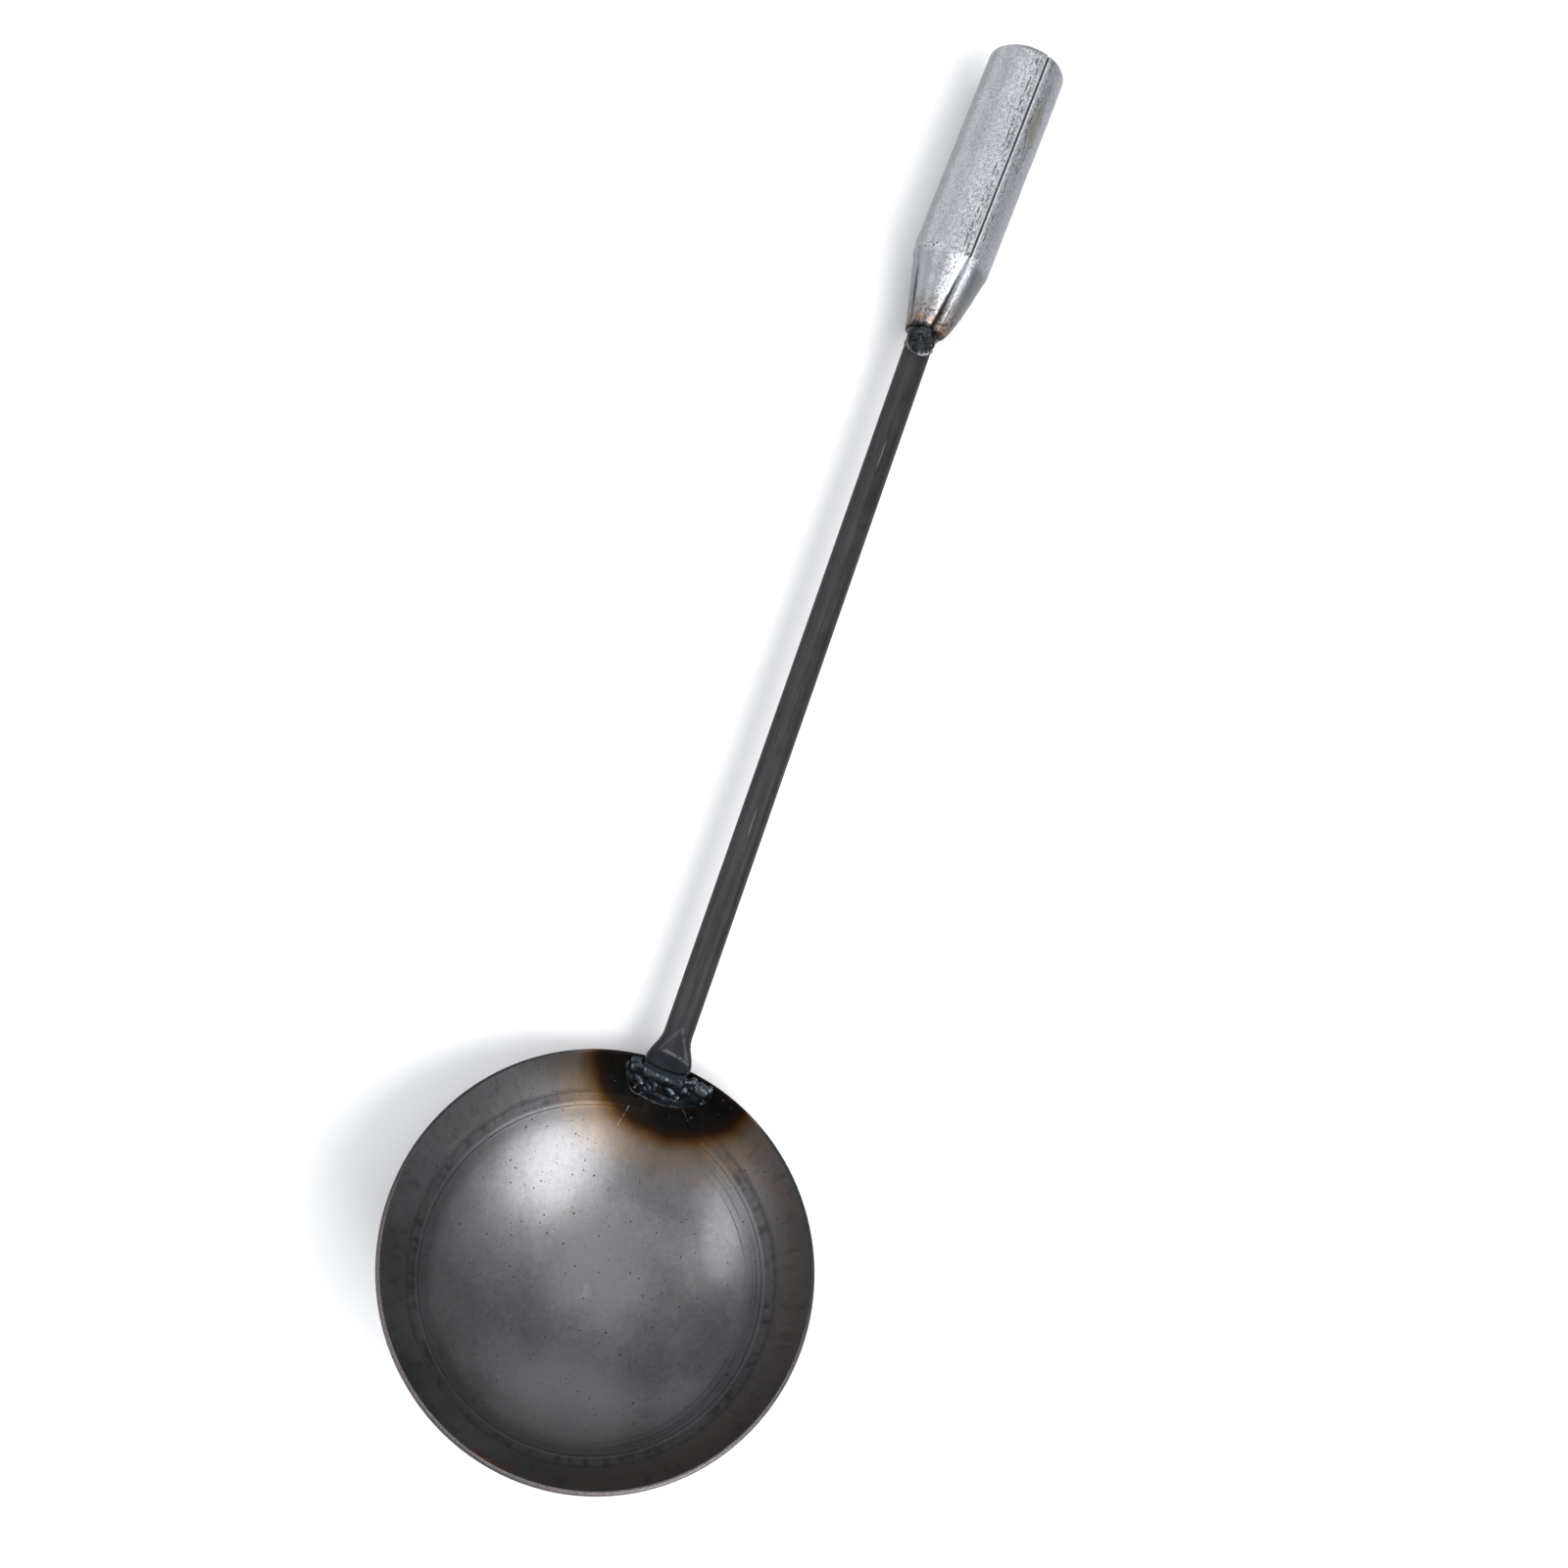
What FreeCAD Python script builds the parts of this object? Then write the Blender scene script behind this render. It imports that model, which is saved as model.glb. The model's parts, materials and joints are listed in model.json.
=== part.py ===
import FreeCAD, Part
import math
import os

Vector = FreeCAD.Vector
Z_AXIS = Vector(0, 0, 1)

# Driving sizes, in millimetres and degrees. Every size below is worked out from these.
rim_d = 120.0          # bowl across the outside of its rim
bowl_depth = 36.4      # rim plane down to the lowest point of the outside
sheet = 1.2            # thickness of the bowl's sheet
band_high = 11.4       # angle below the rim at which the pressed band starts
band_low = 15.8        # angle below the rim at which the pressed band ends
band_sink = 0.08       # how far the band is pressed outward

rod_d = 8.7            # round bar of the handle
rod_length = 240.0     # bar from the bend over the rim to its upper end
rod_rise = 29.6        # angle of the bar above the rim plane
rod_sway = 1.3         # sideways lean of the bar, to the left seen from the bowl's front
spade_width = 14.1     # forged end at its widest, over the rim
spade_length = 9.0     # bar over which the round turns flat
tab_width = 12.0       # flat tab inside the bowl
tab_thickness = 4.0
tab_turn = 2.8         # angle of the bowl's wall that the tab covers
neck_thickness = 6.0   # forged end where it bends over the rim
facet_top = 11.0       # bend to the upper end of the flat that the hammer left on top
facet_low = 3.0        # bend to the lip at the lower end of that flat
lip_step = 0.7         # step down at the lip

tube_d = 25.4          # galvanised tube of the grip
tube_wall = 1.2
tube_length = 95.0     # grip from the crimped tip to the open end
tube_rise = 29.4       # angle of the tube above the rim plane
tube_sway = -1.2       # sideways lean of the tube
crimp_length = 25.5    # part of the tube that is crimped down
shoulder_step = 0.3    # step down where the crimping tool stopped
tip_r = 5.9            # crimped tip, axis to the outside
pleat_depth = 3.2      # depth of a folded pleat at the tip
pleat_mouth = 1.8      # width of a folded pleat at the tip
lobe_fall = 0.4        # share of the pleat's depth by which a lobe rounds off before the fold
seam_angle = 22.0      # seam and first pleat, round from the top of the tube to the right
seam_width = 0.9
seam_depth = 0.8
pleats = 4
butt_gap = 0.3         # gap between bar and tube that the weld fills
glob_length = 8.4      # weld along the bar below the crimped tip
glob_bulge = 0.9       # weld outside the bar's surface, all round
cap_r = 5.2            # round cap of the weld on the upper side
cap_bulge = 1.6        # cap outside the bar's surface

# Sizes that follow from the driving sizes.
rim_r = rim_d / 2
outer_r = (rim_r ** 2 + bowl_depth ** 2) / (2 * bowl_depth)
inner_r = outer_r - sheet
ball_height = outer_r - bowl_depth
rim_angle = math.degrees(math.asin(ball_height / outer_r))
rod_r = rod_d / 2
tube_r = tube_d / 2
bore_r = tube_r - tube_wall
ball_centre = Vector(0, 0, ball_height)


def on_ball(radius, below, around=0.0):
    """Point on a ball about the bowl's centre, by angle below level and around the bowl."""
    flat = radius * math.cos(math.radians(below))
    return Vector(
        flat * math.cos(math.radians(around)),
        flat * math.sin(math.radians(around)),
        ball_height - radius * math.sin(math.radians(below)),
    )


def heading(rise, sway):
    """Unit vector that leans up from level by rise and sideways by sway."""
    level = math.cos(math.radians(rise))
    return Vector(
        level * math.cos(math.radians(sway)),
        level * math.sin(math.radians(sway)),
        math.sin(math.radians(rise)),
    )


def arc_on_ball(radius, start, end):
    """Arc of the bowl's profile between two angles below level."""
    middle = on_ball(radius, (start + end) / 2)
    return Part.Arc(on_ball(radius, start), middle, on_ball(radius, end)).toShape()


def line(start, end):
    return Part.makeLine(start, end)


def make_bowl():
    """Pressed sheet bowl with a square-cut rim and a shallow pressed band."""
    band_start = rim_angle + band_high
    band_end = rim_angle + band_low
    ease = 1.0
    edges = []
    for surface_r, band_r in ((outer_r, outer_r + band_sink), (inner_r, inner_r + band_sink)):
        edges.append(arc_on_ball(surface_r, rim_angle, band_start))
        edges.append(line(on_ball(surface_r, band_start), on_ball(band_r, band_start + ease)))
        edges.append(arc_on_ball(band_r, band_start + ease, band_end - ease))
        edges.append(line(on_ball(band_r, band_end - ease), on_ball(surface_r, band_end)))
        edges.append(arc_on_ball(surface_r, band_end, 90))
    edges.append(line(on_ball(outer_r, 90), on_ball(inner_r, 90)))
    rim_crown = on_ball((outer_r + inner_r) / 2, rim_angle - 0.2)
    edges.append(Part.Arc(on_ball(outer_r, rim_angle), rim_crown, on_ball(inner_r, rim_angle)).toShape())
    profile = Part.Wire(Part.__sortEdges__(edges))
    return Part.Face(profile).revolve(Vector(0, 0, 0), Z_AXIS, 360)


def smooth_loop(points):
    """Closed smooth wire through the points."""
    curve = Part.BSplineCurve()
    curve.interpolate(Points=points, PeriodicFlag=True)
    return Part.Wire([curve.toShape()])


def bar_section(centre, along, width, thickness, squareness):
    """Section across the bar: a circle at squareness 2, a rounded rectangle above it."""
    side = Z_AXIS.cross(along).normalize()
    upward = along.cross(side).normalize()
    points = []
    for step in range(32):
        turn = 2 * math.pi * step / 32
        across = math.copysign(abs(math.cos(turn)) ** (2 / squareness), math.cos(turn))
        high = math.copysign(abs(math.sin(turn)) ** (2 / squareness), math.sin(turn))
        points.append(centre + side * (across * width / 2) + upward * (high * thickness / 2))
    return smooth_loop(points)


def up_wall(below):
    """Direction straight up the bowl's wall at an angle below level, on the handle's side."""
    return Vector(math.sin(math.radians(below)), 0, math.cos(math.radians(below)))


def bend_point():
    """Where the bar's axis meets the tab's axis, just above the rim."""
    return on_ball(inner_r - tab_thickness / 2 - 0.2, rim_angle - 1.6)


def hammered_flat(bend, along):
    """Block whose underside is the flat on top of the forged end, with a step down at its lip."""
    side = Z_AXIS.cross(along).normalize()
    upward = along.cross(side).normalize()
    lip = neck_thickness / 2
    corners = []
    for run, height in (
        (facet_top, rod_r),
        (facet_low, lip),
        (facet_low, lip - lip_step),
        (-facet_low, lip - lip_step),
        (-facet_low, rod_d),
        (facet_top, rod_d),
        (facet_top, rod_r),
    ):
        corners.append(bend + along * run + upward * height - side * spade_width)
    return Part.Face(Part.makePolygon(corners)).extrude(side * (2 * spade_width))


def make_rod():
    """Round bar whose lower end is forged flat and bent down the inside of the bowl."""
    bend = bend_point()
    along = heading(rod_rise, rod_sway)
    tab_r = inner_r - tab_thickness / 2 + 0.1
    wires = []
    for share, widen, thin in ((1.0, 0.9, 0.7), (0.6, 1.0, 1.0)):
        angle = rim_angle + share * tab_turn
        wires.append(bar_section(on_ball(tab_r, angle), up_wall(angle), tab_width * widen,
                                 tab_thickness * thin, 3.6))
    halfway = (along + up_wall(rim_angle)).normalize()
    wires.append(bar_section(bend, halfway, spade_width, neck_thickness, 2.8))
    for step in range(1, 7):
        flare = (1 + math.cos(math.pi * step / 6)) / 2
        width = rod_d + flare * (spade_width - rod_d)
        thickness = rod_d - flare * (rod_d - neck_thickness)
        centre = bend + along * (spade_length * step / 6)
        wires.append(bar_section(centre, along, width, thickness, 2 + 0.8 * flare))
    for run in (max(facet_top, spade_length) + 1, rod_length):
        wires.append(bar_section(bend + along * run, along, rod_d, rod_d, 2.0))
    return Part.makeLoft(wires, True, True).cut(hammered_flat(bend, along))


def pleated_section(high, outside, depth, mouth):
    """Section across the crimp: an arc for each lobe, and a narrow fold between neighbours."""
    pleat_step = 2 * math.pi / pleats
    half_mouth = mouth / 2 / outside
    edges = []
    for lobe in range(pleats):
        corners = []
        for turn, radius in (
            (pleat_step * lobe, outside - depth),
            (pleat_step * lobe + half_mouth, outside - depth * lobe_fall),
            (pleat_step * (lobe + 0.5), outside),
            (pleat_step * (lobe + 1) - half_mouth, outside - depth * lobe_fall),
            (pleat_step * (lobe + 1), outside - depth),
        ):
            corners.append(Vector(radius * math.cos(turn), radius * math.sin(turn), high))
        edges.append(line(corners[0], corners[1]))
        edges.append(Part.Arc(*corners[1:4]).toShape())
        edges.append(line(corners[3], corners[4]))
    return Part.Wire(edges)


def crimp_loft(shares, shrink):
    """Taper from the tip (share 0) to the shoulder (share 1), made smaller by shrink all round."""
    wires = []
    for share in shares:
        outside = tip_r + (tube_r - shoulder_step - tip_r) * share ** 0.8
        fold = 1 - 0.97 * share ** 1.5
        wires.append(pleated_section(share * crimp_length, outside - shrink, pleat_depth * fold,
                                     pleat_mouth * (0.4 + 0.6 * fold)))
    return Part.makeLoft(wires, True, False)


def make_tube():
    """Rolled tube with a butted seam, crimped at the lower end and open at the upper end."""
    straight = tube_length - crimp_length
    shell = Part.makeCylinder(tube_r, straight, Vector(0, 0, crimp_length))
    shell = shell.fuse(crimp_loft((0, 0.12, 0.28, 0.45, 0.62, 0.8, 1.0), 0.0))
    hollow = Part.makeCylinder(bore_r, straight + 1, Vector(0, 0, crimp_length))
    hollow = hollow.fuse(crimp_loft((0.42, 0.5, 0.62, 0.8, 1.0), tube_wall))
    tube = shell.cut(hollow)
    groove_corners = [
        Vector(tube_r - seam_depth, 0, crimp_length * 0.9),
        Vector(tube_r + seam_depth, seam_width, crimp_length * 0.9),
        Vector(tube_r + seam_depth, -seam_width, crimp_length * 0.9),
        Vector(tube_r - seam_depth, 0, crimp_length * 0.9),
    ]
    groove = Part.Face(Part.makePolygon(groove_corners)).extrude(Z_AXIS * tube_length)
    return tube.cut(groove).removeSplitter()


def place_along(shape, origin, along, turned):
    """Stand a shape made along +Z on a line, with its +X turned from the line's upper side."""
    side = Z_AXIS.cross(along).normalize()
    upward = along.cross(side).normalize()
    matrix = FreeCAD.Matrix(
        upward.x, -side.x, along.x, origin.x,
        upward.y, -side.y, along.y, origin.y,
        upward.z, -side.z, along.z, origin.z,
        0, 0, 0, 1,
    )
    placed = shape.copy()
    placed.rotate(Vector(0, 0, 0), Z_AXIS, turned)
    placed.transformShape(matrix)
    return placed


def make_bowl_weld():
    """Pool of weld metal round the tab, as round lumps: around, below level, radius and height."""
    lumps = (
        (10.2, 28.5, 2.2, 1.2),
        (8.5, 29.9, 3.2, 2.3),
        (6.2, 33.4, 3.4, 1.7),
        (4.6, 36.4, 3.6, 1.2),
        (1.2, 32.4, 3.2, 2.7),
        (0.0, 36.6, 3.8, 1.3),
        (-3.4, 33.6, 3.6, 2.5),
        (-4.6, 36.8, 3.6, 1.2),
        (-7.2, 32.0, 3.4, 2.6),
        (-8.8, 35.4, 3.6, 1.3),
        (-9.0, 28.6, 2.8, 2.8),
        (-12.6, 29.6, 3.8, 3.0),
        (-12.6, 33.2, 3.2, 1.2),
        (-14.8, 30.2, 2.4, 1.2),
    )
    beads = []
    for around, below, radius, height in lumps:
        beads.append(Part.makeSphere(radius, on_ball(inner_r + radius - height, below, around)))
    weld = beads[0].multiFuse(beads[1:])
    return weld.common(Part.makeSphere(inner_r + sheet / 2, ball_centre))


def make_grip_weld(tip, along, along_tube, rod):
    """Collar of weld round the bar's end with a round cap on its upper side."""
    side = Z_AXIS.cross(along).normalize()
    upward = along.cross(side).normalize()
    middle = tip - along * (glob_length / 2)
    lower = tip - along * glob_length
    crown = Part.Arc(
        tip + along + upward * (rod_r + glob_bulge),
        middle + upward * (rod_r + glob_bulge),
        lower + upward * (rod_r - 0.2),
    ).toShape()
    edges = [
        crown,
        line(lower + upward * (rod_r - 0.2), lower),
        line(lower, tip + along),
        line(tip + along, tip + along + upward * (rod_r + glob_bulge)),
    ]
    collar = Part.Face(Part.Wire(edges)).revolve(tip, along, 360)
    cap = Part.makeSphere(cap_r, middle + upward * (rod_r + cap_bulge - cap_r))
    beyond_tip = Part.makeCylinder(2 * tube_r, 2 * glob_length, tip, along_tube)
    return collar.fuse(cap).cut(beyond_tip).cut(rod)


def ring_foot(centre, axis, upward):
    """Height of the lowest point of the tube's rim about a centre."""
    return centre.dot(upward) - tube_r * math.sqrt(1 - axis.dot(upward) ** 2)


def resting_up(centre, axis, balance):
    """Direction that points up when the bowl and one rim of the tube lie on a level surface."""
    reach = centre - ball_centre
    line_out = Vector(reach).normalize()
    hanging = balance - ball_centre
    over_line = (line_out * hanging.dot(line_out) - hanging).normalize()
    drop = tube_r
    for _ in range(4):
        lean = math.asin((outer_r - drop) / reach.Length)
        upward = over_line * math.cos(lean) - line_out * math.sin(lean)
        drop = centre.dot(upward) - ring_foot(centre, axis, upward)
    return upward


def settled_up(rims, axis, balance):
    """Resting direction in which neither rim of the tube's straight part is below the surface."""
    for centre in rims:
        upward = resting_up(centre, axis, balance)
        surface = ball_centre.dot(upward) - outer_r
        if all(ring_foot(rim, axis, upward) > surface - 0.001 for rim in rims):
            return upward
    return upward


def main_solid(shape):
    """The piece itself, without any crumb that a cut leaves behind."""
    return max(shape.Solids, key=lambda solid: solid.Volume)


def make_pieces():
    bend = bend_point()
    along_rod = heading(rod_rise, rod_sway)
    along_tube = heading(tube_rise, tube_sway)
    tip = bend + along_rod * rod_length + along_tube * butt_gap
    bowl = make_bowl()
    rod = make_rod().cut(bowl)
    pieces = {
        "bowl": bowl,
        "rod": rod,
        "grip_tube": place_along(make_tube(), tip, along_tube, seam_angle),
        "bowl_weld": make_bowl_weld().cut(bowl).cut(rod),
        "grip_weld": make_grip_weld(tip, along_rod, along_tube, rod),
    }
    pieces = {name: main_solid(shape) for name, shape in pieces.items()}
    rims = (tip + along_tube * tube_length, tip + along_tube * crimp_length)
    return pieces, rims, along_tube


def lay_down(pieces, rims, axis):
    """Turn the ladle to its resting pose and put the middle of its footprint at the origin."""
    volume = sum(piece.Volume for piece in pieces.values())
    balance = Vector(0, 0, 0)
    for piece in pieces.values():
        balance += piece.CenterOfMass * (piece.Volume / volume)
    upward = settled_up(rims, axis, balance)
    forward = rims[0] - ball_centre
    forward = (forward - upward * forward.dot(upward)).normalize()
    side = upward.cross(forward)
    matrix = FreeCAD.Matrix(
        forward.x, forward.y, forward.z, 0,
        side.x, side.y, side.z, 0,
        upward.x, upward.y, upward.z, 0,
        0, 0, 0, 1,
    )
    for piece in pieces.values():
        piece.transformShape(matrix)
    box = Part.makeCompound(list(pieces.values())).optimalBoundingBox()
    shift = Vector(-(box.XMin + box.XMax) / 2, -(box.YMin + box.YMax) / 2, -box.ZMin)
    for piece in pieces.values():
        piece.translate(shift)


pieces, rims, axis = make_pieces()
lay_down(pieces, rims, axis)
os.makedirs("parts", exist_ok=True)
for name, piece in pieces.items():
    piece.exportStep("parts/" + name + ".step")
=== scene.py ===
import bpy, bmesh, json, math, random
from mathutils import Euler, Matrix, Vector, noise


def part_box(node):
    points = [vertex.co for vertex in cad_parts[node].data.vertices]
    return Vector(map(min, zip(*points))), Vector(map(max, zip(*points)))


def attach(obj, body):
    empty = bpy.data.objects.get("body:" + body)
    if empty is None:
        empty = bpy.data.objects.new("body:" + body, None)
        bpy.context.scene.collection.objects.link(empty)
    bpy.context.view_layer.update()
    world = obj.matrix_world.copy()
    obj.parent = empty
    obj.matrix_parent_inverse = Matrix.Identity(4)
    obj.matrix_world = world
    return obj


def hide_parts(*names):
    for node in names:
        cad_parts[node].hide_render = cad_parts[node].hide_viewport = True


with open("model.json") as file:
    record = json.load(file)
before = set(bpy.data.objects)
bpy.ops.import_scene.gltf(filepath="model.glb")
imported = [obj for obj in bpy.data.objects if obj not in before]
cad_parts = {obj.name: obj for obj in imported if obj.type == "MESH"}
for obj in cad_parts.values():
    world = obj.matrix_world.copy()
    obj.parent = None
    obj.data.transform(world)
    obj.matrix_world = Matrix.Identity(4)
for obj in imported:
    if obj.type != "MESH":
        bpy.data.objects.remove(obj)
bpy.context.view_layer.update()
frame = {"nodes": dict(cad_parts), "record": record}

# Driving sizes of the ladle, in millimetres and degrees, in the bowl's own frame:
# origin in the middle of the rim plane, +X towards the handle, +Y to its left, +Z up the bowl's axis.
rim_d = 120.0          # bowl across the outside of its rim
bowl_depth = 36.4      # rim plane down to the lowest point of the outside
sheet = 1.2            # thickness of the bowl's sheet
band_high = 11.4       # angle below the rim at which the pressed band starts
band_low = 15.8        # angle below the rim at which the pressed band ends

rod_d = 8.7            # round bar of the handle
rod_length = 240.0     # bar from the bend over the rim to its upper end
rod_rise = 29.6        # angle of the bar above the rim plane
rod_sway = 1.3         # sideways lean of the bar, to the left
tab_thickness = 4.0    # flat tab inside the bowl
bend_gap = 0.2         # gap between the wall and the tab where the bar's line starts
bend_over = 1.6        # angle above the rim at which that line starts
facet_low = 3.0        # bend to the lip at the lower end of the hammered flat
facet_lip = 2.3        # height of that lip over the bar's middle

tube_d = 25.4          # tube of the grip
tube_wall = 1.2
tube_length = 95.0     # grip from the crimped tip to the open end
open_bevel = 0.25      # bevel of the sheet at the open end
crimp_length = 25.5    # part of the tube that is crimped down
shoulder_lean = 1.8    # how far the shoulder lies nearer to the tip on the right, and further on the left
shoulder_fall = 0.12   # slope of the tube between the shoulder and the die's edge
shoulder_step = 0.15   # step in at the die's edge
die_edge = 22.8        # tip to the edge of the crimping die
tip_r = 5.9            # crimped tip, axis to the outside
tip_reach = 1.2        # how far the tip runs on inside the weld
bore_end = 0.42        # part of the crimp, from the tip, in which there is no bore
pleats = 4
pleat_depth = 3.2
seam_angle = 22.0      # seam and first pleat, round from the top of the tube to the right
groove_angle = 2.4     # half of the groove along the seam, round the tube
groove_depth = 0.7
stain_run = 72.0       # tip to the middle of the brown stain
stain_angle = 43.0     # middle of that stain, round from the top of the tube to the right

puddle_r = 4.4         # rim of the round puddle of weld on the bar
puddle_drop = 5.2      # upper end of the bar down to the puddle's middle
weld_voxel = 0.2       # mesh size of the weld metal
weld_sink = 0.4        # how far the weld may sink into the bowl's sheet

# How the bowl's frame is turned about X, Y and Z where the ladle comes to rest.
rest_turns = (-1.444, 29.845, -0.995)

# The camera, in metres in the row frame, with its lens and the width of its sensor in millimetres.
camera_place = Vector((-0.0803, 0.03564, 0.45346))
camera_back = Vector((-0.12239, 0.09087, 0.98831))
camera_up = Vector((0.93242, 0.35167, 0.08313))
camera_lens = 33.75
camera_sensor = 36.0

# Half of the floor's side, in metres.
floor_half = 8.0

MM = 0.001
rim_r = rim_d / 2
outer_r = (rim_r ** 2 + bowl_depth ** 2) / (2 * bowl_depth)
inner_r = outer_r - sheet
ball_height = outer_r - bowl_depth
rim_angle = math.degrees(math.asin(ball_height / outer_r))
rod_r = rod_d / 2
tube_r = tube_d / 2
puddle_middle = rod_length - puddle_drop
lobe_angle = 360.0 / pleats


def find_bowl_frame():
    """Matrix from millimetres in the bowl's frame to metres in the row frame."""
    turned = Euler([math.radians(angle) for angle in rest_turns], "XYZ").to_matrix()
    low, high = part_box("bowl")
    up = turned @ Vector((0, 0, 1))
    rim_centre = Vector((
        low.x + (outer_r - up.x * ball_height) * MM,
        (low.y + high.y) / 2,
        low.z + (outer_r - up.z * ball_height) * MM,
    ))
    return Matrix.Translation(rim_centre) @ turned.to_4x4() @ Matrix.Scale(MM, 4)


def line_frame(origin, along):
    """Frame on a line, in millimetres: +Z along it, +X to its upper side, +Y to its right."""
    side = bowl_up.cross(along).normalized()
    upper = along.cross(side).normalized()
    turned = Matrix((upper, -side, along)).transposed()
    return Matrix.Translation(origin) @ turned.to_4x4() @ Matrix.Scale(MM, 4)


def on_ball(radius, below, around):
    """Point on a ball about the bowl's centre, in the bowl's frame."""
    flat = radius * math.cos(math.radians(below))
    return Vector((
        flat * math.cos(math.radians(around)),
        flat * math.sin(math.radians(around)),
        ball_height - radius * math.sin(math.radians(below)),
    ))


def on_wall(below, around):
    """Point on the inside of the bowl, in the ball's frame."""
    return on_ball(inner_r, below, around) - Vector((0, 0, ball_height))


def heading(rise, sway):
    """Unit vector in the bowl's frame that leans up by rise and sideways by sway."""
    level = math.cos(math.radians(rise))
    return Vector((
        level * math.cos(math.radians(sway)),
        level * math.sin(math.radians(sway)),
        math.sin(math.radians(rise)),
    ))


def from_axis(reach, turn, height):
    """Point at a distance from the Z axis, with its turn in radians, and a height along it."""
    return Vector((reach * math.cos(turn), reach * math.sin(turn), height))


bowl_frame = find_bowl_frame()
ball_frame = bowl_frame @ Matrix.Translation((0, 0, ball_height))
bowl_up = (bowl_frame.to_3x3() @ Vector((0, 0, 1))).normalized()
rod_start = bowl_frame @ on_ball(inner_r - tab_thickness / 2 - bend_gap, rim_angle - bend_over, 0)
rod_along = (bowl_frame.to_3x3() @ heading(rod_rise, rod_sway)).normalized()
rod_frame = line_frame(rod_start, rod_along)
grip_bore = next(mount for mount in frame["record"]["mounts"] if mount["name"] == "grip_bore")
tube_along = Vector(grip_bore["axis"]).normalized()
tube_tip = Vector(grip_bore["pos_m"]) - tube_along * tube_length * MM
tube_frame = line_frame(tube_tip, tube_along)


class Paint:
    """One material, built up from calls that each add a node and give back its output.

    A share is a number or an output from 0 to 1 that says how much of something shows."""

    def __init__(self, name):
        self.material = bpy.data.materials.new(name)
        self.material.use_nodes = True
        self.tree = self.material.node_tree
        self.shader = self.tree.nodes["Principled BSDF"]

    def node(self, kind, inputs, **settings):
        """New shader node. An input is a value or another node's output."""
        made = self.tree.nodes.new("ShaderNode" + kind)
        for name, value in settings.items():
            setattr(made, name, value)
        for name, value in inputs.items():
            if isinstance(value, bpy.types.NodeSocket):
                self.tree.links.new(value, made.inputs[name])
            else:
                made.inputs[name].default_value = value
        return made

    def local(self, place_frame):
        """Place in a frame of the object, in millimetres."""
        where = self.node("TexCoord", {}).outputs["Object"]
        turns = place_frame.to_3x3().normalized().to_euler("XYZ")
        mapping = {"Vector": where, "Location": place_frame.to_translation(), "Rotation": turns,
                   "Scale": (MM, MM, MM)}
        return self.node("Mapping", mapping, vector_type="TEXTURE").outputs["Vector"]

    def math(self, operation, *values):
        return self.node("Math", dict(enumerate(values)), operation=operation).outputs["Value"]

    def vector(self, operation, *values, output="Vector"):
        return self.node("VectorMath", dict(enumerate(values)), operation=operation).outputs[output]

    def split(self, value):
        made = self.node("SeparateXYZ", {"Vector": value})
        return made.outputs["X"], made.outputs["Y"], made.outputs["Z"]

    def join(self, x, y, z):
        return self.node("CombineXYZ", {"X": x, "Y": y, "Z": z}).outputs["Vector"]

    def shift(self, place, *offset):
        return self.vector("ADD", place, offset)

    def length(self, place):
        return self.vector("LENGTH", place, output="Value")

    def distance(self, place, point):
        return self.vector("DISTANCE", place, point, output="Value")

    def turn(self, x, y):
        """Angle about the Z axis, in degrees."""
        return self.math("DEGREES", self.math("ARCTAN2", y, x))

    def chain(self, operation, values):
        """The values joined one after the other by the same operation."""
        result = values[0]
        for value in values[1:]:
            result = self.math(operation, result, value)
        return result

    def times(self, *values):
        return self.chain("MULTIPLY", values)

    def plus(self, *values):
        return self.chain("ADD", values)

    def strongest(self, *values):
        return self.chain("MAXIMUM", values)

    def minus(self, first, second):
        return self.math("SUBTRACT", first, second)

    def noise(self, place, scale, detail=3.0, roughness=0.55, distortion=0.0):
        settings = {"Vector": place, "Scale": scale, "Detail": detail, "Roughness": roughness,
                    "Distortion": distortion}
        return self.node("TexNoise", settings).outputs["Fac"]

    def colour_noise(self, place, scale):
        """Three noises at once, as a vector."""
        return self.node("TexNoise", {"Vector": place, "Scale": scale, "Detail": 2.0}).outputs["Color"]

    def wander(self, place, scale, reach, detail=2.0, roughness=0.55):
        """Noise about zero that moves something by up to half of reach each way."""
        return self.times(self.minus(self.noise(place, scale, detail, roughness), 0.5), reach)

    def rise(self, value, start, end):
        """Smooth step from 0 at start to 1 at end."""
        made = self.node("MapRange", {"Value": value, "From Min": start, "From Max": end},
                         interpolation_type="SMOOTHSTEP")
        return made.outputs["Result"]

    def fall(self, value, start, end):
        """Smooth step from 1 at start to 0 at end."""
        return self.minus(1.0, self.rise(value, start, end))

    def line(self, value, middle, half_width):
        """1 where the value is at the middle, falling to 0 at half_width from it."""
        away = self.math("ABSOLUTE", self.minus(value, middle))
        return self.fall(away, 0.3 * half_width, half_width)

    def mix(self, share, first, second):
        """First colour where share is 0, second where it is 1."""
        made = self.node("Mix", {}, data_type="RGBA")
        for slot, value in ((0, share), (6, first), (7, second)):
            if isinstance(value, bpy.types.NodeSocket):
                self.tree.links.new(value, made.inputs[slot])
            else:
                made.inputs[slot].default_value = value if slot == 0 else (*value, 1.0)
        return made.outputs[2]

    def over(self, colour, new, *shares):
        """New colour laid over the one so far, by all the shares multiplied together."""
        return self.mix(self.times(*shares), colour, new)

    def spots(self, place, scale, size, share):
        """Round spots: size is a part of the spacing, and share is how many of the cells have one."""
        made = self.node("TexVoronoi", {"Vector": place, "Scale": scale})
        chance = self.node("SeparateColor", {"Color": made.outputs["Color"]}).outputs["Red"]
        return self.times(self.fall(made.outputs["Distance"], 0.6 * size, size),
                          self.math("LESS_THAN", chance, share))

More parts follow.
